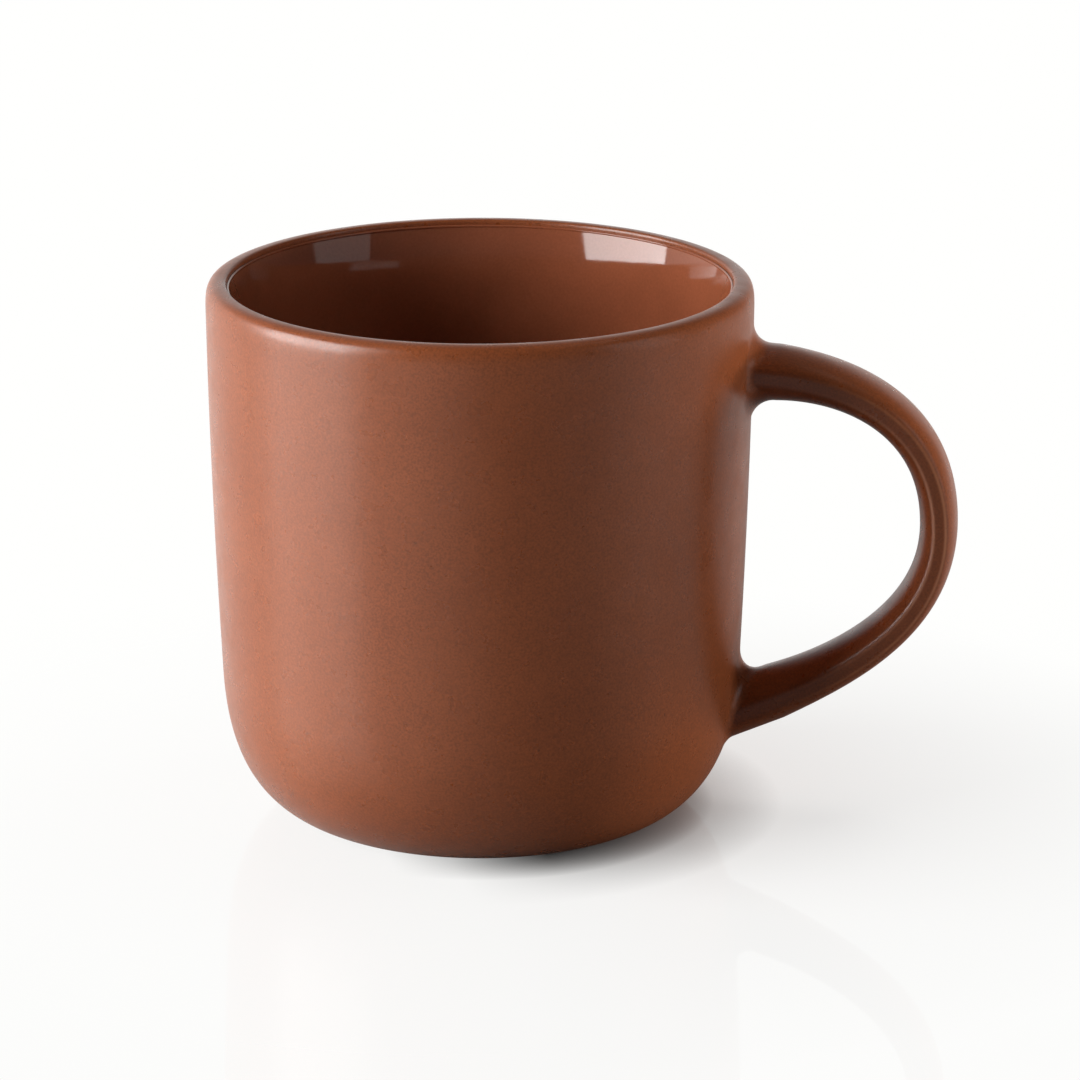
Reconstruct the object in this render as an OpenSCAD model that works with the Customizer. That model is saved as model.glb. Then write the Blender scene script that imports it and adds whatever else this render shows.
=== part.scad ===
// Stoneware mug with a gloss-lined vessel and a luted D-shaped handle.
// The foot stands on z = 0, the vessel's axis is z, and the handle points along +x.

/* [Vessel] */
// Height from the foot to the crest of the lip
mug_h = 90.5; // [80:0.5:110]
// Outer diameter just under the lip
rim_d = 90; // [80:0.5:105]
// How much smaller the outer radius is where the base curve starts
wall_draw = 1.9; // [0.5:0.05:4]
// How far the wall swells past a straight taper at mid height
wall_bow = 0.32; // [0:0.01:1]
// Thickness of the clay wall below the lip
wall_t = 5; // [4:0.1:6]
// Thickness of the clay floor above the foot recess
floor_t = 4.6; // [3:0.1:8]

/* [Lip] */
// Radius that rounds the lip's outer side
lip_outer_r = 2.6; // [1.8:0.1:2.8]
// Radius that rounds the lip's inner side
lip_inner_r = 0.9; // [0.6:0.1:1.2]
// Height over which the inside opens out towards the lip
lip_flare_h = 14; // [10:0.5:18]
// Angle of the inside where it leaves the lip
lip_flare_angle = 17; // [10:0.5:20]

/* [Base] */
// Height at which the wall turns into the base curve
base_curve_h = 23.7; // [20:0.1:32]
// Angle at which the base curve leaves the foot
base_rise_angle = 11; // [6:0.5:20]
// Pull of the base curve at the foot
base_foot_pull = 7.9; // [5:0.1:12]
// Pull of the base curve at the wall
base_wall_pull = 16.2; // [10:0.1:18]
// Outer diameter of the foot ring
foot_d = 56; // [48:0.5:64]
// Width of the foot ring's flat
foot_w = 4.5; // [3:0.1:7]
// Depth of the recess inside the foot ring
foot_recess = 1.4; // [0.8:0.1:2.4]
// Diameter of the flat middle of the inside floor
inside_floor_d = 38; // [24:0.5:46]
// Height of the inside curve between floor and wall
inside_curve_h = 21; // [14:0.5:28]

/* [Glaze] */
// Thickness of the gloss glaze on the inside
glaze_t = 0.35; // [0.2:0.05:0.6]

/* [Handle] */
// How far the handle stands out from the rim's radius
handle_out = 34; // [28:0.1:42]
// Distance of the upper root's centre below the lip
upper_root_drop = 14.3; // [12.5:0.1:20]
// Angle at which the upper arm leaves the wall, upwards positive
upper_angle = 0.9; // [-10:0.1:10]
// Pull of the centreline at the upper root
upper_root_pull = 15; // [11:0.1:20]
// Pull of the centreline above the widest point
upper_bend_pull = 18.9; // [12:0.1:24]
// Height of the lower root's centre above the foot
lower_root_z = 18.6; // [15:0.1:24]
// Angle at which the lower arm leaves the wall, upwards positive
lower_angle = 20.7; // [5:0.1:30]
// Pull of the centreline at the lower root
lower_root_pull = 11.1; // [9:0.1:16]
// Pull of the centreline below the widest point
lower_bend_pull = 19.5; // [12:0.1:24]
// Height of the widest point above the lower root
belly_rise = 32.3; // [28:0.1:40]
// Thickness of the handle at its widest point
handle_t = 6.2; // [5.4:0.1:8]
// Thickness of the handle at its roots
root_t = 9; // [7:0.1:10]
// Width of the handle across its sides
handle_w = 13.4; // [11:0.1:16]
// Width of the flat along each side of the handle
side_flat_w = 2; // [1.2:0.1:2.4]
// How far that flat lies towards the outside of the loop
side_flat_shift = 0.4; // [0:0.05:0.6]
// Fall of the shoulder beside that flat at the widest point
shoulder_angle = 32; // [20:1:45]
// Fall of the shoulder at the roots, where the flat fades out
root_shoulder_angle = 14; // [8:1:30]
// Pull of the shoulder's curve beside that flat
shoulder_pull = 1.5; // [0.8:0.1:2.2]

/* [Luting] */
// Reach of the slip fillet on the finger side of each root
inner_reach = 4.4; // [2.4:0.1:5]
// Reach of the slip fillet beside each root
side_reach = 1.4; // [0.8:0.1:2.4]
// Reach of the slip fillet on top of the upper root
upper_outer_reach = 3; // [1:0.1:4]
// Reach of the slip fillet under the lower root
lower_outer_reach = 1.2; // [0.8:0.1:3]
// Thickness of the fillet's worn edge
fillet_edge = 0.2; // [0.1:0.05:0.4]
// Film of slip between the handle's ends and the wall
slip_film = 0.1; // [0.08:0.01:0.2]

/* [Resolution] */
// Steps along each half of the handle
path_steps = 26; // [12:1:36]
// Steps along each quarter of the handle's section
section_steps = 7; // [4:1:9]
// Steps along the base curve and the inside curve
curve_steps = 16; // [10:1:30]
// Steps up the wall, outside and inside
wall_steps = 6; // [4:1:12]
// Steps round the lip, its flare and the recess
edge_steps = 8; // [6:1:16]

/* [Hidden] */
$fn = 96;

clay_colour = [0.45, 0.25, 0.18];
glaze_colour = [0.33, 0.16, 0.10];
slip_colour = [0.42, 0.23, 0.17];

rim_r = rim_d / 2;
foot_r = foot_d / 2;
corner_r = rim_r - wall_draw;
lip_z = mug_h - lip_outer_r;
lip_t = lip_outer_r + lip_inner_r;
flare_z = mug_h - lip_flare_h;
inside_floor_z = foot_recess + floor_t;
inside_floor_r = inside_floor_d / 2;
inside_curve_z = inside_floor_z + inside_curve_h;
recess_r = foot_r - foot_w;

// The pulls of short curves, as shares of the distance they span
flare_pull = 0.4;
inside_pull = 0.62;

// Halvings that find a height on the base curve, and passes that seat a point on the wall
base_halvings = 18;
seat_passes = 5;

// The pull of the handle's crown, as a share of the handle's width
crown_share = 0.25;

// How late the handle thickens towards its roots, as a power of the way there
root_swell = 3;

// The smaller ring inside each end face of the handle, as a share of the section
cap_share = 0.5;

// Steps across the hollow of a slip fillet
fillet_steps = 6;

function dir(angle) = [cos(angle), sin(angle)];

// A point and a direction on a cubic curve through p[0] and p[3]
function cubic(p, t) =
    pow(1 - t, 3) * p[0] + 3 * pow(1 - t, 2) * t * p[1]
    + 3 * (1 - t) * t * t * p[2] + t * t * t * p[3];
function cubic_dir(p, t) =
    let (d = pow(1 - t, 2) * (p[1] - p[0]) + 2 * (1 - t) * t * (p[2] - p[1]) + t * t * (p[3] - p[2]))
    d / norm(d);
function curve(p, steps) = [for (i = [0:steps]) cubic(p, i / steps)];
function arc(centre, r, from, to, steps) =
    [for (i = [0:steps]) centre + r * dir(from + (to - from) * i / steps)];
function tail(points) = [for (i = [1:len(points) - 1]) points[i]];
function reversed(points) = [for (i = [len(points) - 1:-1:0]) points[i]];

// Outer profile of the vessel: a slightly swollen taper over a full base curve
wall_span = lip_z - base_curve_h;
function taper_r(z) =
    let (v = (z - base_curve_h) / wall_span)
    corner_r + wall_draw * v + 4 * wall_bow * v * (1 - v);
function taper_dir(z) =
    let (v = (z - base_curve_h) / wall_span)
    let (d = [wall_draw + 4 * wall_bow * (1 - 2 * v), wall_span])
    d / norm(d);
base_curve = [
    [foot_r, 0],
    [foot_r, 0] + base_foot_pull * dir(base_rise_angle),
    [corner_r, base_curve_h] - base_wall_pull * taper_dir(base_curve_h),
    [corner_r, base_curve_h]
];
function base_t(z, low = 0, high = 1, left = base_halvings) =
    let (mid = (low + high) / 2)
    left == 0 ? mid
    : cubic(base_curve, mid)[1] < z ? base_t(z, mid, high, left - 1)
    : base_t(z, low, mid, left - 1);
function outer_r(z) = z > base_curve_h ? taper_r(z) : cubic(base_curve, base_t(z))[0];
function outer_profile() = concat(
    curve(base_curve, curve_steps),
    [for (i = [1:wall_steps - 1]) let (z = base_curve_h + wall_span * i / wall_steps) [taper_r(z), z]],
    arc([rim_r - lip_outer_r, lip_z], lip_outer_r, 0, 90, edge_steps)
);

// Inside profile from the lip down to the middle of the floor, moved inwards by a coat
function inside_wall_r(z, coat) = outer_r(z) - wall_t - coat;
function flare_curve(coat) =
    let (top = [rim_r - lip_t - coat, mug_h - lip_inner_r - coat])
    let (bottom = [inside_wall_r(flare_z, coat), flare_z])
    let (pull = (top[1] - bottom[1]) * flare_pull)
    [top, top - pull * dir(90 - lip_flare_angle), bottom + pull * taper_dir(flare_z), bottom];
function inside_curve(coat) =
    let (top = [inside_wall_r(inside_curve_z, coat), inside_curve_z])
    let (bottom = [inside_floor_r, inside_floor_z + coat])
    [
        top,
        top - inside_pull * (top[1] - bottom[1]) * taper_dir(inside_curve_z),
        bottom + [inside_pull * (top[0] - bottom[0]), 0],
        bottom
    ];
function inside_profile(coat) = concat(
    curve(flare_curve(coat), edge_steps),
    [
        for (i = [1:wall_steps - 1])
        let (z = flare_z + (inside_curve_z - flare_z) * i / wall_steps)
        [inside_wall_r(z, coat), z]
    ],
    curve(inside_curve(coat), curve_steps),
    [[0, inside_floor_z + coat]]
);

// Underside from the axis out to the foot ring, with a hollow edge to the recess
function underside_profile() = concat(
    [[0, foot_recess]],
    arc([recess_r - foot_recess, 0], foot_recess, 90, 0, edge_steps)
);

module body() {
    color(clay_colour)
    rotate_extrude()
    polygon(concat(
        underside_profile(),
        outer_profile(),
        tail(arc([rim_r - lip_t + lip_inner_r, mug_h - lip_inner_r], lip_inner_r, 90, 180, edge_steps)),
        tail(inside_profile(0))
    ));
}

module liner_glaze() {
    color(glaze_colour)
    rotate_extrude()
    polygon(concat(inside_profile(0), reversed(inside_profile(glaze_t))));
}

// Centreline of the handle in the x-z plane, from the upper root round to the lower root
upper_root_z = mug_h - upper_root_drop;
belly_z = lower_root_z + belly_rise;
belly_x = rim_r + handle_out - handle_t / 2;
upper_root = [outer_r(upper_root_z), upper_root_z];
lower_root = [outer_r(lower_root_z), lower_root_z];
upper_path = [
    upper_root,
    upper_root + upper_root_pull * dir(upper_angle),
    [belly_x, belly_z + upper_bend_pull],
    [belly_x, belly_z]
];
lower_path = [
    [belly_x, belly_z],
    [belly_x, belly_z - lower_bend_pull],
    lower_root + lower_root_pull * dir(lower_angle),
    lower_root
];

// The swept part stops short of the wall, and its ends then run straight in to their seats
straight_l = max(inner_reach, side_reach, upper_outer_reach, lower_outer_reach);
function stand_off(angle) = straight_l + root_t / 2 * tan(abs(angle));
upper_start = stand_off(upper_angle) / (3 * upper_root_pull);
lower_end = 1 - stand_off(lower_angle) / (3 * lower_root_pull);

// Section of the handle as [out of the loop, across] points: two crowned faces and two flat sides.
// It swells from the widest point, where share is 0, towards each root, where share is 1.
function shoulder(edge, t, fall) = [
    [edge, handle_w / 2],
    [edge, handle_w / 2] + shoulder_pull * [cos(fall), -sin(fall)],
    [t / 2, crown_share * handle_w],
    [t / 2, 0]
];
function half_section(edge, t, fall) =
    let (q = curve(shoulder(edge, t, fall), section_steps))
    concat(q, [for (i = [section_steps - 1:-1:0]) [q[i][0], -q[i][1]]]);
function section(share) =
    let (t = handle_t + (root_t - handle_t) * pow(share, root_swell))
    let (fall = shoulder_angle + (root_shoulder_angle - shoulder_angle) * share)
    concat(
        half_section(side_flat_w / 2 + side_flat_shift, t, fall),
        [for (p = half_section(side_flat_w / 2 - side_flat_shift, t, fall)) -p]
    );
section_n = 2 * (2 * section_steps + 1);

// Outward direction of the section's outline at point i
function section_out(points, i) =
    let (d = points[(i + 1) % section_n] - points[(i + section_n - 1) % section_n])
    [-d[1], d[0]] / norm(d);

// A frame on the path: its place, its direction, and the direction out of the loop
function frame(path, t) =
    let (c = cubic(path, t))
    let (d = cubic_dir(path, t))
    [[c[0], 0, c[1]], [d[0], 0, d[1]], [-d[1], 0, d[0]]];
function on_frame(f, p) = f[0] + p[0] * f[2] + [0, p[1], 0];

upper_frames = [
    for (i = [0:path_steps])
    frame(upper_path, upper_start + (1 - upper_start) * i / path_steps)
];
lower_frames = [for (i = [1:path_steps]) frame(lower_path, lower_end * i / path_steps)];

upper_sections = [for (i = [0:path_steps]) section(1 - i / path_steps)];
lower_sections = [for (i = [1:path_steps]) section(i / path_steps)];

function ring(f, points) = [for (p = points) on_frame(f, p)];

// Moves a point along d until it lies on the film of slip over the wall
function seat(p, d, left = seat_passes) =
    let (gap = norm([p[0], p[1]]) - outer_r(p[2]) - slip_film)
    left == 0 ? p : seat(p + d * gap / abs(d[0]), d, left - 1);
function seated(points, d) = [for (p = points) seat(p, d)];

first_frame = upper_frames[0];
last_frame = lower_frames[path_steps - 1];
root_section = section(1);
upper_in = -first_frame[1];
lower_in = last_frame[1];
function seat_ring(f, d, share) = seated(ring(f, root_section * share), d);

// Triangles that join a row of closed rings of n points, each ring to the next
function skin_faces(rings, n) = [
    for (k = [0:rings - 2])
    for (i = [0:n - 1])
    let (j = (i + 1) % n)
    for (f = [
        [k * n + i, (k + 1) * n + j, k * n + j],
        [k * n + i, (k + 1) * n + i, (k + 1) * n + j]
    ]) f
];
function flat(lists) = [for (l = lists) for (p = l) p];

module handle() {
    rings = concat(
        [seat_ring(first_frame, upper_in, cap_share), seat_ring(first_frame, upper_in, 1)],
        [for (i = [0:path_steps]) ring(upper_frames[i], upper_sections[i])],
        [for (i = [0:path_steps - 1]) ring(lower_frames[i], lower_sections[i])],
        [seat_ring(last_frame, lower_in, 1), seat_ring(last_frame, lower_in, cap_share)]
    );
    n = section_n;
    last = len(rings) * n;
    caps = [seat(first_frame[0], upper_in), seat(last_frame[0], lower_in)];
    cap_faces = [
        for (i = [0:n - 1])
        let (j = (i + 1) % n)
        for (f = [[last, i, j], [last + 1, last - n + j, last - n + i]]) f
    ];
    color(clay_colour)
    polyhedron(points = concat(flat(rings), caps), faces = concat(skin_faces(len(rings), n), cap_faces));
}

// A fillet of slip round one root, hollow in section, with blunt edges on the handle and the wall.
// Its reach goes from the finger side's or the outer side's to that of the flat sides.
function fillet_strip(f, d, outer_reach, i) =
    let (out = section_out(root_section, i))
    let (face_reach = out[0] > 0 ? outer_reach : inner_reach)
    let (reach = side_reach + (face_reach - side_reach) * pow(out[0], 2))
    let (side = out[0] * f[2] + [0, out[1], 0])
    let (heel = seat(on_frame(f, root_section[i]), d))
    let (top = heel - reach * d)
    let (toe = seat(heel + reach * side, d))
    let (top_edge = top + fillet_edge * side)
    let (toe_edge = toe - fillet_edge * d)
    let (crease = heel + fillet_edge * (side - d))
    concat(
        [heel, top],
        [
            for (k = [0:fillet_steps])
            let (t = k / fillet_steps)
            pow(1 - t, 2) * top_edge + 2 * (1 - t) * t * crease + t * t * toe_edge
        ],
        [toe]
    );

module slip_joint(f, d, outer_reach) {
    strips = [for (i = [0:section_n - 1]) fillet_strip(f, d, outer_reach, i)];
    around = d * f[1] > 0 ? reversed(strips) : strips;
    m = len(around[0]);
    faces = concat(
        skin_faces(section_n, m),
        [
            for (k = [0:m - 1])
            let (a = (section_n - 1) * m)
            let (next = (k + 1) % m)
            for (t = [[a + k, next, a + next], [a + k, k, next]]) t
        ]
    );
    color(slip_colour)
    polyhedron(points = flat(around), faces = faces);
}

module upper_slip_joint() {
    slip_joint(first_frame, upper_in, upper_outer_reach);
}

module lower_slip_joint() {
    slip_joint(last_frame, lower_in, lower_outer_reach);
}

body();
liner_glaze();
handle();
upper_slip_joint();
lower_slip_joint();
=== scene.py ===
"""A stoneware mug in a white studio: fine meshes and fired-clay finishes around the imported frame."""
import math

import bpy
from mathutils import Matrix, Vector


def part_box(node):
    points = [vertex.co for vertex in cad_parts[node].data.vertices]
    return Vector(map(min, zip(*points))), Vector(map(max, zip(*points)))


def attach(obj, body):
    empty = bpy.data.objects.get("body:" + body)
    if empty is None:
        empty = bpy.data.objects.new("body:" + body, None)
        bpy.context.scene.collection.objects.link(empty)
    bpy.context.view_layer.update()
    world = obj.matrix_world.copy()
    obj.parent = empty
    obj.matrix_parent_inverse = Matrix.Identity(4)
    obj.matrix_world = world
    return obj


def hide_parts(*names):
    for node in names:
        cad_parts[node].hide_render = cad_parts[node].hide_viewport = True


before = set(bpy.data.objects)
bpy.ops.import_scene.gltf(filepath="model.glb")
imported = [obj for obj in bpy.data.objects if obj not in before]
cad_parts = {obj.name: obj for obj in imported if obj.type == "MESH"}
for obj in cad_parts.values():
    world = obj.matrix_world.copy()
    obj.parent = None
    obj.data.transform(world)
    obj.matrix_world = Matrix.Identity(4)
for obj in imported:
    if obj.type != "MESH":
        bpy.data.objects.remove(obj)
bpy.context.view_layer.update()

MM = 0.001

# Main sizes, read from the frame
MUG_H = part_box("body")[1].z
RIM_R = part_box("body")[1].x
HANDLE_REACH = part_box("handle")[1].x
HANDLE_HALF_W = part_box("handle")[1].y

# Vessel
WALL_DRAW = 1.9 * MM
WALL_BOW = 0.32 * MM
WALL_T = 5 * MM
FLOOR_T = 4.6 * MM
LIP_OUTER_R = 2.6 * MM
LIP_INNER_R = 0.9 * MM
LIP_FADE = 4.2 * MM
LIP_WALL_PULL = 3.1 * MM
LIP_CROWN_PULL = 2.3 * MM
LIP_EDGE_PULL = 0.75 * MM
LIP_FLARE_H = 14 * MM
LIP_FLARE_ANGLE = 17
BASE_CURVE_H = 23.7 * MM
BASE_RISE_ANGLE = 11
BASE_FOOT_PULL = 7.9 * MM
BASE_WALL_PULL = 16.2 * MM
FOOT_R = 28 * MM
FOOT_W = 4.5 * MM
FOOT_RECESS = 1.4 * MM
FOOT_EDGE_R = 0.35 * MM
INSIDE_FLOOR_R = 19 * MM
INSIDE_CURVE_H = 21 * MM
GLAZE_T = 0.35 * MM
FLARE_PULL = 0.4
INSIDE_PULL = 0.62

# Handle
UPPER_ROOT_Z = MUG_H - 14.3 * MM
UPPER_ANGLE = 0.9
UPPER_ROOT_PULL = 15 * MM
UPPER_BEND_PULL = 18.9 * MM
LOWER_ROOT_Z = 18.6 * MM
LOWER_ANGLE = 20.7
LOWER_ROOT_PULL = 11.1 * MM
LOWER_BEND_PULL = 19.5 * MM
BELLY_Z = LOWER_ROOT_Z + 32.3 * MM
HANDLE_T = 6.2 * MM
ROOT_T = 9 * MM
SIDE_FLAT_W = 2 * MM
SIDE_FLAT_SHIFT = 0.4 * MM
SHOULDER_ANGLE = 32
ROOT_SHOULDER_ANGLE = 14
SHOULDER_PULL = 1.5 * MM
CROWN_SHARE = 0.25
ROOT_SWELL = 3
RIDGE_R = 0.45 * MM
INNER_REACH = 4.4 * MM
SIDE_REACH = 1.4 * MM
UPPER_OUTER_REACH = 3 * MM
LOWER_OUTER_REACH = 1.2 * MM
ROOT_SINK = 0.2 * MM

# Fineness of the meshes
TURNS = 288
CURVE_STEPS = 28
WALL_STEPS = 36
PATH_STEPS = 84
RIDGE_STEPS = 6
SHOULDER_STEPS = 18
FILLET_STEPS = 14
SEAT_PASSES = 6
BASE_HALVINGS = 40
CREASE_ANGLE = 40

# Camera, in the photograph's 1080 pixel frame
IMAGE_PX = 1080
FOCAL_PX = 5340
SENSOR_MM = 36
CAM_DISTANCE = 0.85
CAM_HEIGHT = 0.3027
CAM_PITCH = 16.822
CAM_YAW = 0.6627
HANDLE_TURN = 7.03

# Studio: lamps stand at an azimuth from the camera's side, right positive
FLOOR_R = 3.0
FLOOR_SIDES = 96
LAMP_DISTANCE = 0.8
KEY_AZIMUTH = -75.5
KEY_SPREAD = 48
KEY_LOW = 0.02
KEY_HIGH = 0.6
KEY_POWER = 12.2
FILL_AZIMUTH = 70.5
FILL_SPREAD = 32
FILL_LOW = 0.02
FILL_HIGH = 0.62
FILL_POWER = 0.58
HIGH_AZIMUTH = 105
HIGH_SPREAD = 60
HIGH_LOW = 0.55
HIGH_TOP = 0.75
HIGH_DISTANCE = 0.25
HIGH_POWER = 0.75
CARD_LOW = 0.005
CARD_HIGH = 0.12
LEFT_CARD_AZIMUTH = -118
LEFT_CARD_SPREAD = 40
LEFT_CARD_POWER = 1
SIDE_CARD_AZIMUTH = 80
SIDE_CARD_SPREAD = 16
SIDE_CARD_POWER = 2.1
BACK_CARD_AZIMUTH = 112
BACK_CARD_SPREAD = 16
BACK_CARD_POWER = 3.6
REAR_CARD_AZIMUTH = 160
REAR_CARD_SPREAD = 40
REAR_CARD_POWER = 4
AMBIENT = 0.005
DIM_AZIMUTH = 45
DIM_START = -0.6
DIM_END = -0.1
DIM_ROOM = 0.08
CEILING_LOW = 0.3
CEILING_HIGH = 0.43
CEILING_DIM = 0.32

# Finishes, with colours as linear values and bump heights in metres
NOISE_DETAIL = 3
NOISE_LOW = 0.3
NOISE_HIGH = 0.7
CLAY = (0.25, 0.067, 0.023, 1)
CLAY_DARK = (0.22, 0.057, 0.019, 1)
CLAY_LIGHT = (0.28, 0.077, 0.027, 1)
CLAY_CLOUD_SCALE = 48
CLAY_CLOUD_SHARE = 0.5
CLAY_ROUGH = 0.3
CLAY_ROUGH_SPREAD = 0.05
CLAY_ROUGH_SCALE = 260
CLAY_ROUGH_DETAIL = 4
CLAY_SPECULAR = 0.5
# Paler clay along the handle's ridges: partly wear, partly a painted highlight standing in for the thin
# bright ridge lines.
RIDGE_WEAR_AND_HIGHLIGHT = (0.52, 0.2, 0.1, 1)
SAND_SCALE = 2700
SAND_DETAIL = 1
SAND_BROWN = (0.8, 0.82, 0.84, 1)
SAND_TAN = (1.2, 1.18, 1.16, 1)
SPECK_SCALE = 210
SPECK_SHARE = 0.08
SPECK_CORE = 0.03
SPECK_EDGE = 0.07
SPECK_DEPTH = 0.45
SPECK_BROWN = (0.03, 0.015, 0.01, 1)
GRAIN_SCALE = 2600
GRAIN_STRENGTH = 0.25
GRAIN_BUMP = 0.00004
WAVE_SCALE = 60
WAVE_DETAIL = 2
WAVE_STRENGTH = 0.35
WAVE_BUMP = 0.0003
GLAZE_DARK = (0.248, 0.071, 0.032, 1)
GLAZE_LIGHT = (0.298, 0.086, 0.039, 1)
GLAZE_CLOUD_SCALE = 70
GLAZE_GRAIN_SCALE = 2400
GLAZE_GRAIN_DETAIL = 2
GLAZE_GRAIN_LOW = 0.25
GLAZE_GRAIN_HIGH = 0.75
GLAZE_GRAIN_DARK = 0.92
GLAZE_GRAIN_LIGHT = 1.08
GLAZE_ROUGH = 0.07
GLAZE_ROUGH_SPREAD = 0.02
GLAZE_ROUGH_SCALE = 320
GLAZE_SPECULAR = 0.5
RIPPLE_SCALE = 130
RIPPLE_DETAIL = 2
RIPPLE_STRENGTH = 0.3
RIPPLE_BUMP = 0.00012

# Floor board, with colours as linear values and distances from the mug's axis in metres
WHITE = (1, 1, 0.99, 1)
FLOOR_WHITE = (0.8, 0.8, 0.79, 1)
FLOOR_DIM = (0.1, 0.1, 0.098, 1)
FLOOR_BRIGHT = (1.1, 1.1, 1.09, 1)
BOUNCE_AZIMUTH = -90
BOUNCE_LOW = -0.02
BOUNCE_HIGH = 0.05
GLOW_LEFT = 0.9
GLOW_RIGHT = 0.58
GLOW_NEAR = 0.035
GLOW_FAR = 0.13
SHEEN_AZIMUTH = -100
SHEEN_WIDTH = 0.1
SHEEN_NEAR = 0.06
SHEEN_FAR = 0.15
SHEEN_DIM = 0.03
SHEEN_PALE = 0.2
RIGHT_AZIMUTH = 100
RIGHT_NEAR = 0.05
RIGHT_FAR = 0.2
RIGHT_PALE = 0.5
CONTACT_REACH = 0.005
CONTACT_LEFT = -0.02
CONTACT_RIGHT = 0.006
SHADE_REACH = 0.014
SHADE_LEFT = -0.01
SHADE_RIGHT = 0.03
FLOOR_GLOSS_ROUGH = 0.03
FLOOR_IOR = 1.33
MIRROR_SHARE = 0.5
MIRROR_NEAR = 0.14
MIRROR_FAR = 0.3

# Share of a corner's legs that turns a cubic into a quarter circle
ARC_PULL = 0.5523


def direction(angle):
    return Vector((math.cos(math.radians(angle)), math.sin(math.radians(angle))))


def cubic(p, t):
    s = 1 - t
    return s**3 * p[0] + 3 * s * s * t * p[1] + 3 * s * t * t * p[2] + t**3 * p[3]


def cubic_direction(p, t):
    s = 1 - t
    return (s * s * (p[1] - p[0]) + 2 * s * t * (p[2] - p[1]) + t * t * (p[3] - p[2])).normalized()


def curve(p, steps):
    return [cubic(p, i / steps) for i in range(steps + 1)]


def arc(centre, r, start, end, steps):
    return [centre + r * direction(start + (end - start) * i / steps) for i in range(steps + 1)]


# Profile of the vessel as (radius, height) points
CORNER_R = RIM_R - WALL_DRAW
LIP_Z = MUG_H - LIP_OUTER_R
WALL_SPAN = LIP_Z - BASE_CURVE_H
LIP_T = LIP_OUTER_R + LIP_INNER_R
CREST = Vector((RIM_R - LIP_OUTER_R, MUG_H))
FLARE_Z = MUG_H - LIP_FLARE_H
INSIDE_FLOOR_Z = FOOT_RECESS + FLOOR_T
INSIDE_CURVE_Z = INSIDE_FLOOR_Z + INSIDE_CURVE_H


def taper_r(z):
    v = (z - BASE_CURVE_H) / WALL_SPAN
    return CORNER_R + WALL_DRAW * v + 4 * WALL_BOW * v * (1 - v)


def taper_direction(z):
    v = (z - BASE_CURVE_H) / WALL_SPAN
    return Vector((WALL_DRAW + 4 * WALL_BOW * (1 - 2 * v), WALL_SPAN)).normalized()


FOOT_POINT = Vector((FOOT_R, 0))
CORNER_POINT = Vector((CORNER_R, BASE_CURVE_H))
BASE_CURVE = [
    FOOT_POINT,
    FOOT_POINT + BASE_FOOT_PULL * direction(BASE_RISE_ANGLE),
    CORNER_POINT - BASE_WALL_PULL * taper_direction(BASE_CURVE_H),
    CORNER_POINT,
]


def base_r(z):
    """Radius of the base curve at a height, found by halving."""
    low, high = 0.0, 1.0
    for _ in range(BASE_HALVINGS):
        mid = (low + high) / 2
        if cubic(BASE_CURVE, mid).y < z:
            low = mid
        else:
            high = mid
    return cubic(BASE_CURVE, low).x


def outer_r(z):
    return taper_r(z) if z > BASE_CURVE_H else base_r(z)


def levels(start, end, steps):
    return [start + (end - start) * i / steps for i in range(1, steps)]


def outer_profile():
    """From the foot up the wall to the crest of the lip, which fades out of the wall."""
    low = MUG_H - LIP_FADE
    fade = Vector((taper_r(low), low))
    lip = [fade, fade + LIP_WALL_PULL * taper_direction(low), CREST + Vector((LIP_CROWN_PULL, 0)), CREST]
    wall = [Vector((taper_r(z), z)) for z in levels(BASE_CURVE_H, low, WALL_STEPS)]
    return curve(BASE_CURVE, 2 * CURVE_STEPS) + wall + curve(lip, CURVE_STEPS)


def inside_r(z, coat):
    return outer_r(z) - WALL_T - coat


def flare_curve(coat):
    top = Vector((RIM_R - LIP_T - coat, MUG_H - LIP_INNER_R - coat))
    bottom = Vector((inside_r(FLARE_Z, coat), FLARE_Z))
    pull = (top.y - bottom.y) * FLARE_PULL
    return [
        top,
        top - pull * direction(90 - LIP_FLARE_ANGLE),
        bottom + pull * taper_direction(FLARE_Z),
        bottom,
    ]


def inside_curve(coat):
    top = Vector((inside_r(INSIDE_CURVE_Z, coat), INSIDE_CURVE_Z))
    bottom = Vector((INSIDE_FLOOR_R, INSIDE_FLOOR_Z + coat))
    return [
        top,
        top - INSIDE_PULL * (top.y - bottom.y) * taper_direction(INSIDE_CURVE_Z),
        bottom + Vector((INSIDE_PULL * (top.x - bottom.x), 0)),
        bottom,
    ]


def inside_profile(coat):
    """From the lip's inner side down to the middle of the floor, moved inwards by a coat."""
    wall = [Vector((inside_r(z, coat), z)) for z in levels(FLARE_Z, INSIDE_CURVE_Z, WALL_STEPS)]
    middle = Vector((0, INSIDE_FLOOR_Z + coat))
    flare = curve(flare_curve(coat), CURVE_STEPS)
    bottom = curve(inside_curve(coat), 2 * CURVE_STEPS)
    return flare + wall + bottom + [middle]


def underside_profile():
    """From the axis out over the recess to the foot ring, with its inner edge rounded."""
    recess_r = FOOT_R - FOOT_W
    hollow_r = FOOT_RECESS - FOOT_EDGE_R
    hollow = arc(Vector((recess_r - hollow_r, FOOT_EDGE_R)), hollow_r, 90, 0, CURVE_STEPS // 2)
    edge = arc(Vector((recess_r + FOOT_EDGE_R, FOOT_EDGE_R)), FOOT_EDGE_R, 180, 270, CURVE_STEPS // 4)
    return [Vector((0, FOOT_RECESS))] + hollow + edge[1:]


def smooth_mesh(name, points, faces):
    """An object from points and faces, shaded smooth except over sharp edges."""
    mesh = bpy.data.meshes.new(name)
    mesh.from_pydata(points, [], faces)
    mesh.validate()
    mesh.shade_smooth()
    mesh.set_sharp_from_angle(angle=math.radians(CREASE_ANGLE))
    made = bpy.data.objects.new(name, mesh)
    bpy.context.scene.collection.objects.link(made)
    return made


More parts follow.
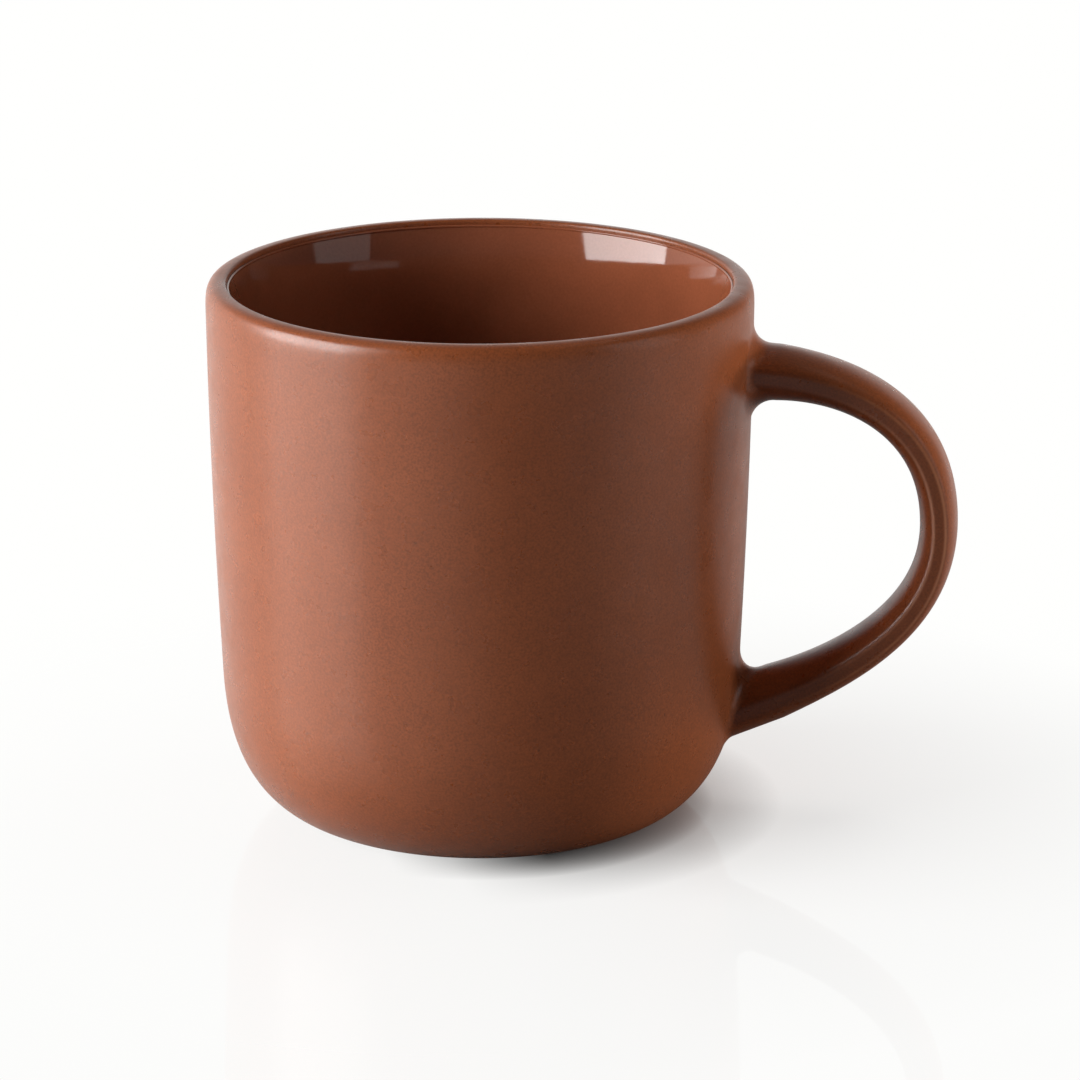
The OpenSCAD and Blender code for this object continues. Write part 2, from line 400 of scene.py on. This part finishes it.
def lathe(name, profile):
    """A closed body of revolution from a profile that starts and ends on the axis."""
    points = [(0, 0, profile[0].y)]
    for p in profile[1:-1]:
        for k in range(TURNS):
            a = 2 * math.pi * k / TURNS
            points.append((p.x * math.cos(a), p.x * math.sin(a), p.y))
    points.append((0, 0, profile[-1].y))
    rows = len(profile) - 2
    end = len(points) - 1
    faces = []
    for k in range(TURNS):
        after = (k + 1) % TURNS
        faces.append((0, 1 + after, 1 + k))
        last = 1 + (rows - 1) * TURNS
        faces.append((end, last + k, last + after))
        for row in range(rows - 1):
            a = 1 + row * TURNS
            b = a + TURNS
            faces.append((a + k, a + after, b + after, b + k))
    return smooth_mesh(name, points, faces)


def make_body():
    inside = inside_profile(0)
    edge = [CREST, CREST - Vector((LIP_EDGE_PULL, 0)), inside[0] + Vector((0, LIP_EDGE_PULL)), inside[0]]
    lip = curve(edge, CURVE_STEPS)
    return lathe("body_clay", underside_profile() + outer_profile() + lip[1:] + inside[1:])


def make_liner():
    """The coat of glaze, with its upper edge rolled over by surface tension."""
    clay = inside_profile(0)
    glaze = inside_profile(GLAZE_T)
    roll = (clay[0] - glaze[0]).length / 2
    middle = (clay[0] + glaze[0]) / 2
    across = (clay[0] - glaze[0]).normalized()
    along = Vector((-across.y, across.x))
    edge = [
        middle + roll * (math.cos(a) * across + math.sin(a) * along)
        for a in [math.pi * i / CURVE_STEPS for i in range(1, CURVE_STEPS)]
    ]
    return lathe("liner_gloss", clay[::-1] + edge + glaze)


# Centreline of the handle in the x-z plane, from the upper root round to the lower root
BELLY_X = HANDLE_REACH - HANDLE_T / 2
UPPER_ROOT = Vector((outer_r(UPPER_ROOT_Z), UPPER_ROOT_Z))
LOWER_ROOT = Vector((outer_r(LOWER_ROOT_Z), LOWER_ROOT_Z))
UPPER_PATH = [
    UPPER_ROOT,
    UPPER_ROOT + UPPER_ROOT_PULL * direction(UPPER_ANGLE),
    Vector((BELLY_X, BELLY_Z + UPPER_BEND_PULL)),
    Vector((BELLY_X, BELLY_Z)),
]
LOWER_PATH = [
    Vector((BELLY_X, BELLY_Z)),
    Vector((BELLY_X, BELLY_Z - LOWER_BEND_PULL)),
    LOWER_ROOT + LOWER_ROOT_PULL * direction(LOWER_ANGLE),
    LOWER_ROOT,
]


def stand_off(angle):
    return INNER_REACH + ROOT_T / 2 * math.tan(math.radians(abs(angle)))


UPPER_START = stand_off(UPPER_ANGLE) / (3 * UPPER_ROOT_PULL)
LOWER_END = 1 - stand_off(LOWER_ANGLE) / (3 * LOWER_ROOT_PULL)


def quarter_section(edge, t, fall):
    """From the middle of a side flat over its soft ridge to the crown of a broad face."""
    corner = Vector((edge, HANDLE_HALF_W))
    slope = Vector((math.cos(math.radians(fall)), -math.sin(math.radians(fall))))
    shoulder = [
        corner,
        corner + SHOULDER_PULL * slope,
        Vector((t / 2, CROWN_SHARE * 2 * HANDLE_HALF_W)),
        Vector((t / 2, 0)),
    ]
    start = RIDGE_R / (3 * SHOULDER_PULL)
    before = corner - Vector((RIDGE_R, 0))
    after = cubic(shoulder, start)
    ridge = []
    for i in range(RIDGE_STEPS):
        s = i / RIDGE_STEPS
        ridge.append((1 - s) ** 2 * before + 2 * s * (1 - s) * corner + s * s * after)
    for i in range(SHOULDER_STEPS + 1):
        ridge.append(cubic(shoulder, start + (1 - start) * i / SHOULDER_STEPS))
    return ridge


def section(share):
    """Closed outline as (out of the loop, across) points; share is 0 at the belly and 1 at a root."""
    t = HANDLE_T + (ROOT_T - HANDLE_T) * share**ROOT_SWELL
    fall = SHOULDER_ANGLE + (ROOT_SHOULDER_ANGLE - SHOULDER_ANGLE) * share
    outer = quarter_section(SIDE_FLAT_W / 2 + SIDE_FLAT_SHIFT, t, fall)
    inner = quarter_section(SIDE_FLAT_W / 2 - SIDE_FLAT_SHIFT, t, fall)
    half_outer = outer + [Vector((p.x, -p.y)) for p in outer[-2::-1]]
    half_inner = inner + [Vector((p.x, -p.y)) for p in inner[-2::-1]]
    return half_outer + [-p for p in half_inner]


def ridge_marks():
    """1 on the crest of each soft ridge of the section, and 0 away from it."""
    ridge = [math.sin(math.pi * i / RIDGE_STEPS) ** 2 for i in range(RIDGE_STEPS)]
    quarter = ridge + [0] * (SHOULDER_STEPS + 1)
    half = quarter + quarter[-2::-1]
    return half + half


def path_frame(path, t):
    """A place on the centreline, its direction, and the direction out of the loop."""
    c = cubic(path, t)
    d = cubic_direction(path, t)
    return Vector((c.x, 0, c.y)), Vector((d.x, 0, d.y)), Vector((-d.y, 0, d.x))


def on_frame(place, p):
    return place[0] + p.x * place[2] + Vector((0, p.y, 0))


def seat(p, d, film=0.0):
    """Moves a point along d until it lies on the wall, or on a film over it."""
    for _ in range(SEAT_PASSES):
        gap = math.hypot(p.x, p.y) - outer_r(p.z) - film
        p = p + d * (gap / abs(d.x))
    return p


UPPER_FRAME = path_frame(UPPER_PATH, UPPER_START)
LOWER_FRAME = path_frame(LOWER_PATH, LOWER_END)
UPPER_IN = -UPPER_FRAME[1]
LOWER_IN = LOWER_FRAME[1]
ROOT_SECTION = section(1)


def loft_faces(rings, n):
    faces = []
    for k in range(rings - 1):
        for i in range(n):
            j = (i + 1) % n
            faces.append((k * n + i, (k + 1) * n + i, (k + 1) * n + j, k * n + j))
    return faces


def make_handle():
    """A loft of sections along the centreline, with its ends sunk a little into the wall."""
    rings = [[seat(on_frame(UPPER_FRAME, p), UPPER_IN, -ROOT_SINK) for p in ROOT_SECTION]]
    shares = [1]
    for i in range(PATH_STEPS + 1):
        place = path_frame(UPPER_PATH, UPPER_START + (1 - UPPER_START) * i / PATH_STEPS)
        shares.append(1 - i / PATH_STEPS)
        rings.append([on_frame(place, p) for p in section(shares[-1])])
    for i in range(1, PATH_STEPS + 1):
        place = path_frame(LOWER_PATH, LOWER_END * i / PATH_STEPS)
        shares.append(i / PATH_STEPS)
        rings.append([on_frame(place, p) for p in section(shares[-1])])
    rings.append([seat(on_frame(LOWER_FRAME, p), LOWER_IN, -ROOT_SINK) for p in ROOT_SECTION])
    shares.append(1)
    n = len(ROOT_SECTION)
    points = [p for ring in rings for p in ring]
    first, last = len(points), len(points) + 1
    points.append(seat(UPPER_FRAME[0], UPPER_IN, -ROOT_SINK))
    points.append(seat(LOWER_FRAME[0], LOWER_IN, -ROOT_SINK))
    faces = loft_faces(len(rings), n)
    tail = (len(rings) - 1) * n
    for i in range(n):
        j = (i + 1) % n
        faces.append((first, i, j))
        faces.append((last, tail + j, tail + i))
    made = smooth_mesh("handle_loop", points, faces)
    # Mask for the paler ridge colour, fading towards the roots: partly wear, partly painted highlight on
    # the ridge lines.
    ridge_wear_and_highlight = made.data.attributes.new("ridge", "FLOAT", "POINT")
    marks = ridge_marks()
    ridge_wear_and_highlight.data.foreach_set("value", [(1 - share) * mark for share in shares for mark in marks] + [0, 0])
    return made


def section_out(i):
    """Outward direction of the root section's outline at point i."""
    n = len(ROOT_SECTION)
    d = ROOT_SECTION[(i + 1) % n] - ROOT_SECTION[i - 1]
    return Vector((-d.y, d.x)).normalized()


def fillet_strip(place, d, outer_reach, i):
    """Across the fillet at one point of the root: from the handle over the hollow to the wall."""
    out = section_out(i)
    face_reach = outer_reach if out.x > 0 else INNER_REACH
    reach = SIDE_REACH + (face_reach - SIDE_REACH) * out.x**2
    side = out.x * place[2] + Vector((0, out.y, 0))
    heel = seat(on_frame(place, ROOT_SECTION[i]), d)
    top = heel - reach * d
    toe = seat(heel + reach * side, d)
    pull = [top, top + (heel - top) * ARC_PULL, toe + (heel - toe) * ARC_PULL, toe]
    return curve(pull, FILLET_STEPS) + [seat(heel, d, -ROOT_SINK)]


def make_slip_joint(name, place, d, outer_reach):
    strips = [fillet_strip(place, d, outer_reach, i) for i in range(len(ROOT_SECTION))]
    if d.dot(place[1]) > 0:
        strips.reverse()
    m = len(strips[0])
    faces = []
    ring = len(ROOT_SECTION)
    for k in range(ring):
        a = k * m
        b = ((k + 1) % ring) * m
        for i in range(m):
            j = (i + 1) % m
            faces.append((a + i, b + i, b + j, a + j))
    return smooth_mesh(name, [p for strip in strips for p in strip], faces)


def heading(azimuth):
    """Level direction from the mug, azimuth degrees to the right of the camera's side."""
    a = math.radians(HANDLE_TURN + azimuth)
    return Vector((math.sin(a), -math.cos(a), 0))


class Nodes:
    """A short way to write a node tree."""

    def __init__(self, tree):
        self.tree = tree
        self.tree.nodes.clear()

    def link(self, output, socket):
        self.tree.links.new(output, socket)

    def add(self, kind, values=None, **settings):
        """A node with settings, and with input values that are constants or other nodes' outputs."""
        made = self.tree.nodes.new("ShaderNode" + kind)
        for key, value in settings.items():
            setattr(made, key, value)
        for key, value in (values or {}).items():
            if isinstance(value, bpy.types.NodeSocket):
                self.link(value, made.inputs[key])
            else:
                made.inputs[key].default_value = value
        return made

    def noise(self, coords, scale, detail=NOISE_DETAIL):
        values = {"Vector": coords, "Scale": scale, "Detail": detail}
        return self.add("TexNoise", values).outputs["Fac"]

    def spread(self, noise, to_low, to_high):
        """Noise, whose values crowd round a half, spread over a range."""
        return self.remap(noise, NOISE_LOW, NOISE_HIGH, to_low, to_high)

    def remap(self, value, low, high, to_low, to_high):
        values = {"Value": value, "From Min": low, "From Max": high, "To Min": to_low, "To Max": to_high}
        return self.add("MapRange", values).outputs["Result"]

    def mix(self, factor, a, b, blend="MIX"):
        values = {0: factor, 6: a, 7: b}
        return self.add("Mix", values, data_type="RGBA", blend_type=blend).outputs[2]

    def math(self, operation, a, b):
        return self.add("Math", {0: a, 1: b}, operation=operation).outputs[0]

    def along(self, place, azimuth):
        """How far a place lies from the mug's axis in one level direction."""
        values = {0: place, 1: heading(azimuth)}
        return self.add("VectorMath", values, operation="DOT_PRODUCT").outputs["Value"]

    def mirrored(self, path):
        return self.math("MAXIMUM", path["Is Glossy Ray"], path["Is Transmission Ray"])

    def bump(self, height, strength, distance, under=None):
        values = {"Height": height, "Strength": strength, "Distance": distance}
        if under is not None:
            values["Normal"] = under
        return self.add("Bump", values).outputs[0]


class Shader(Nodes):
    """The nodes of one material."""

    def __init__(self, name):
        self.material = bpy.data.materials.new(name)
        self.material.use_nodes = True
        super().__init__(self.material.node_tree)

    def finish(self, surface):
        self.link(surface, self.add("OutputMaterial").inputs["Surface"])
        return self.material


def object_coords(shader):
    return shader.add("TexCoord").outputs["Object"]


def clay_colour(shader, coords):
    """Fired clay: broad clouds, a sandy grain of tan and brown, and a few faint dark specks."""
    clouds = shader.spread(shader.noise(coords, CLAY_CLOUD_SCALE), 0, 1)
    colour = shader.mix(clouds, CLAY_DARK, CLAY_LIGHT)
    colour = shader.mix(CLAY_CLOUD_SHARE, CLAY, colour)
    sand = shader.spread(shader.noise(coords, SAND_SCALE, SAND_DETAIL), 0, 1)
    colour = shader.mix(1.0, colour, shader.mix(sand, SAND_BROWN, SAND_TAN), "MULTIPLY")
    cells = shader.add("TexVoronoi", {"Vector": coords, "Scale": SPECK_SCALE}, feature="F1")
    near = shader.remap(cells.outputs["Distance"], SPECK_CORE, SPECK_EDGE, 1, 0)
    pick = shader.add("SeparateColor", {"Color": cells.outputs["Color"]})
    chosen = shader.math("GREATER_THAN", pick.outputs[0], 1 - SPECK_SHARE)
    speck = shader.math("MULTIPLY", near, chosen)
    speck = shader.math("MULTIPLY", speck, SPECK_DEPTH)
    return shader.mix(speck, colour, SPECK_BROWN)


def clay_material(name):
    """Satin clay, paler along the soft ridges of the handle: partly wear of the clay there and partly a
    painted highlight of the thin bright ridge lines.
    """
    shader = Shader(name)
    coords = object_coords(shader)
    ridge_wear_and_highlight = shader.add("Attribute", attribute_name="ridge").outputs["Fac"]
    # Painted highlight, together with some wear, along the handle's ridges.
    colour = shader.mix(ridge_wear_and_highlight, clay_colour(shader, coords), RIDGE_WEAR_AND_HIGHLIGHT)
    rough = shader.noise(coords, CLAY_ROUGH_SCALE, CLAY_ROUGH_DETAIL)
    rough = shader.spread(rough, CLAY_ROUGH - CLAY_ROUGH_SPREAD, CLAY_ROUGH + CLAY_ROUGH_SPREAD)
    grain = shader.bump(shader.noise(coords, GRAIN_SCALE), GRAIN_STRENGTH, GRAIN_BUMP)
    waves = shader.noise(coords, WAVE_SCALE, WAVE_DETAIL)
    bsdf = shader.add("BsdfPrincipled", {
        "Base Color": colour,
        "Roughness": rough,
        "Specular IOR Level": CLAY_SPECULAR,
        "Normal": shader.bump(waves, WAVE_STRENGTH, WAVE_BUMP, grain),
    })
    return shader.finish(bsdf.outputs[0])


def glaze_material(name):
    """Gloss glaze in the clay's colour, with soft clouds, a fine grain and a slow ripple."""
    shader = Shader(name)
    coords = object_coords(shader)
    clouds = shader.spread(shader.noise(coords, GLAZE_CLOUD_SCALE), 0, 1)
    colour = shader.mix(clouds, GLAZE_DARK, GLAZE_LIGHT)
    grain = shader.noise(coords, GLAZE_GRAIN_SCALE, GLAZE_GRAIN_DETAIL)
    grain = shader.remap(grain, GLAZE_GRAIN_LOW, GLAZE_GRAIN_HIGH, GLAZE_GRAIN_DARK, GLAZE_GRAIN_LIGHT)
    colour = shader.mix(1.0, colour, grain, "MULTIPLY")
    rough = shader.noise(coords, GLAZE_ROUGH_SCALE)
    rough = shader.spread(rough, GLAZE_ROUGH - GLAZE_ROUGH_SPREAD, GLAZE_ROUGH + GLAZE_ROUGH_SPREAD)
    ripple = shader.noise(coords, RIPPLE_SCALE, RIPPLE_DETAIL)
    bsdf = shader.add("BsdfPrincipled", {
        "Base Color": colour,
        "Roughness": rough,
        "Specular IOR Level": GLAZE_SPECULAR,
        "Normal": shader.bump(ripple, RIPPLE_STRENGTH, RIPPLE_BUMP),
    })
    return shader.finish(bsdf.outputs[0])


def floor_glow(shader, path, spot, away):
    """Share of plain light: for the eye less near the mug, for mirror rays more at the left."""
    right = shader.along(spot, RIGHT_AZIMUTH)
    near = shader.remap(right, SHADE_LEFT, SHADE_RIGHT, GLOW_LEFT, GLOW_RIGHT)
    seen = shader.remap(away, GLOW_NEAR, GLOW_FAR, near, 1)
    seen = shader.math("MULTIPLY", path["Is Camera Ray"], seen)
    pale = shader.remap(right, RIGHT_NEAR, RIGHT_FAR, SHEEN_PALE, RIGHT_PALE)
    sheen = shader.remap(away, SHEEN_NEAR, SHEEN_FAR, SHEEN_DIM, pale)
    aside = shader.remap(shader.along(spot, SHEEN_AZIMUTH), 0, SHEEN_WIDTH, 0, 1)
    sheen = shader.math("MAXIMUM", sheen, aside)
    sheen = shader.math("MULTIPLY", shader.mirrored(path), sheen)
    return shader.math("MAXIMUM", seen, sheen)


def floor_shade(shader, spot):
    """Shade where the base touches the board: a thin line in front and a wider one at the right."""
    right = shader.along(spot, RIGHT_AZIMUTH)
    contact = shader.add("AmbientOcclusion", {"Distance": CONTACT_REACH}).outputs["AO"]
    contact = shader.remap(right, CONTACT_LEFT, CONTACT_RIGHT, 1, contact)
    shade = shader.add("AmbientOcclusion", {"Distance": SHADE_REACH}).outputs["AO"]
    shade = shader.remap(right, SHADE_LEFT, SHADE_RIGHT, 1, shade)
    return shader.math("MULTIPLY", contact, shade)


def floor_colour(shader, path, spot):
    """Bright to the eye; to bounced light white at the left and dim at the right."""
    left = shader.remap(shader.along(spot, BOUNCE_AZIMUTH), BOUNCE_LOW, BOUNCE_HIGH, 0, 1)
    bounce = shader.mix(left, FLOOR_DIM, FLOOR_WHITE)
    return shader.mix(path["Is Camera Ray"], bounce, FLOOR_BRIGHT)


def floor_mirror_share(shader, path, away):
    """Fresnel share of the mirror, which the eye sees weaker and only near the mug."""
    faded = shader.remap(away, MIRROR_NEAR, MIRROR_FAR, MIRROR_SHARE, 0)
    share = shader.remap(path["Is Camera Ray"], 0, 1, 1, faded)
    fresnel = shader.add("Fresnel", {"IOR": FLOOR_IOR}).outputs[0]
    return shader.math("MULTIPLY", fresnel, share)


def floor_material():
    """Polished white board: white to the eye, with a faint mirror image and the mug's shadow."""
    shader = Shader("floor_board")
    path = shader.add("LightPath").outputs
    place = shader.add("NewGeometry").outputs
    spot = place["Position"]
    away = shader.add("VectorMath", {0: spot}, operation="LENGTH").outputs["Value"]
    glow = floor_glow(shader, path, spot, away)
    matt = shader.add("BsdfDiffuse", {"Color": floor_colour(shader, path, spot)}).outputs[0]
    strength = floor_shade(shader, spot)
    light = shader.add("Emission", {"Color": WHITE, "Strength": strength}).outputs[0]
    base = shader.add("MixShader", {0: glow, 1: matt, 2: light}).outputs[0]
    mirror = shader.add("BsdfGlossy", {"Color": WHITE, "Roughness": FLOOR_GLOSS_ROUGH}).outputs[0]
    share = floor_mirror_share(shader, path, away)
    board = shader.add("MixShader", {0: share, 1: base, 2: mirror}).outputs[0]
    clear = shader.add("BsdfTransparent").outputs[0]
    sides = {0: place["Backfacing"], 1: board, 2: clear}
    return shader.finish(shader.add("MixShader", sides).outputs[0])


def make_floor():
    rim = [2 * math.pi * k / FLOOR_SIDES for k in range(FLOOR_SIDES)]
    points = [(FLOOR_R * math.cos(a), FLOOR_R * math.sin(a), 0) for a in rim]
    made = smooth_mesh("floor", points, [tuple(range(FLOOR_SIDES))])
    made.data.materials.append(floor_material())


def make_world():
    """White to the camera; mirror rays see white low at the back left and a dim room elsewhere."""
    world = bpy.data.worlds.new("studio")
    world.use_nodes = True
    shader = Nodes(world.node_tree)
    path = shader.add("LightPath").outputs
    sky = shader.add("TexCoord").outputs["Generated"]
    room = shader.remap(shader.along(sky, DIM_AZIMUTH), DIM_START, DIM_END, 1, DIM_ROOM)
    rise = shader.add("SeparateXYZ", {0: sky}).outputs["Z"]
    ceiling = shader.remap(rise, CEILING_LOW, CEILING_HIGH, 1, CEILING_DIM)
    room = shader.math("MULTIPLY", room, ceiling)
    seen = shader.math("MULTIPLY", shader.mirrored(path), room)
    seen = shader.math("MAXIMUM", seen, path["Is Camera Ray"])
    strength = shader.math("MAXIMUM", seen, AMBIENT)
    light = shader.add("Background", {"Color": WHITE, "Strength": strength}).outputs[0]
    shader.link(light, shader.add("OutputWorld").inputs["Surface"])
    bpy.context.scene.world = world


def softbox(name, azimuth, spread, low, high, power, distance=LAMP_DISTANCE):
    """An area lamp between two heights that faces the lip and spans an angle of the mug."""
    data = bpy.data.lights.new(name, "AREA")
    data.shape = "RECTANGLE"
    data.size = 2 * distance * math.tan(math.radians(spread / 2))
    data.size_y = high - low
    data.energy = power
    lamp = bpy.data.objects.new(name, data)
    lamp.location = heading(azimuth) * distance + Vector((0, 0, (low + high) / 2))
    lamp.rotation_euler = (Vector((0, 0, MUG_H)) - lamp.location).to_track_quat("-Z", "Y").to_euler()
    lamp.visible_camera = False
    bpy.context.scene.collection.objects.link(lamp)
    return lamp


def card(name, azimuth, spread, power):
    """A low board that lights the outside alone."""
    return softbox(name, azimuth, spread, CARD_LOW, CARD_HIGH, power)


def make_lights():
    """Two softboxes that show as reflections, and a high lamp and low matt boards that don't."""
    softbox("key", KEY_AZIMUTH, KEY_SPREAD, KEY_LOW, KEY_HIGH, KEY_POWER)
    softbox("fill", FILL_AZIMUTH, FILL_SPREAD, FILL_LOW, FILL_HIGH, FILL_POWER)
    matt = [
        softbox("high", HIGH_AZIMUTH, HIGH_SPREAD, HIGH_LOW, HIGH_TOP, HIGH_POWER, HIGH_DISTANCE),
        card("left_card", LEFT_CARD_AZIMUTH, LEFT_CARD_SPREAD, LEFT_CARD_POWER),
        card("side_card", SIDE_CARD_AZIMUTH, SIDE_CARD_SPREAD, SIDE_CARD_POWER),
        card("back_card", BACK_CARD_AZIMUTH, BACK_CARD_SPREAD, BACK_CARD_POWER),
        card("rear_card", REAR_CARD_AZIMUTH, REAR_CARD_SPREAD, REAR_CARD_POWER),
    ]
    for lamp in matt:
        lamp.visible_glossy = False


def make_camera():
    data = bpy.data.cameras.new("camera")
    data.sensor_width = SENSOR_MM
    data.lens = FOCAL_PX / IMAGE_PX * SENSOR_MM
    camera = bpy.data.objects.new("camera", data)
    camera.location = heading(0) * CAM_DISTANCE + Vector((0, 0, CAM_HEIGHT))
    camera.rotation_euler = (math.radians(90 - CAM_PITCH), 0, math.radians(HANDLE_TURN - CAM_YAW))
    bpy.context.scene.collection.objects.link(camera)
    bpy.context.scene.camera = camera


def dress(piece, material, node):
    """Gives a piece its material, hangs it under the root body and hides the part of the frame that it
    stands for.
    """
    piece.data.materials.append(material)
    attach(piece, "root")
    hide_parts(node)


make_camera()
make_world()
make_floor()
make_lights()

clay = clay_material("stoneware")
slip = clay_material("luting_slip")
glaze = glaze_material("gloss_glaze")
dress(make_body(), clay, "body")
dress(make_liner(), glaze, "liner_glaze")
dress(make_handle(), clay, "handle")
upper_slip = make_slip_joint("upper_slip", UPPER_FRAME, UPPER_IN, UPPER_OUTER_REACH)
lower_slip = make_slip_joint("lower_slip", LOWER_FRAME, LOWER_IN, LOWER_OUTER_REACH)
dress(upper_slip, slip, "upper_slip_joint")
dress(lower_slip, slip, "lower_slip_joint")

bpy.context.scene.view_settings.view_transform = "Standard"
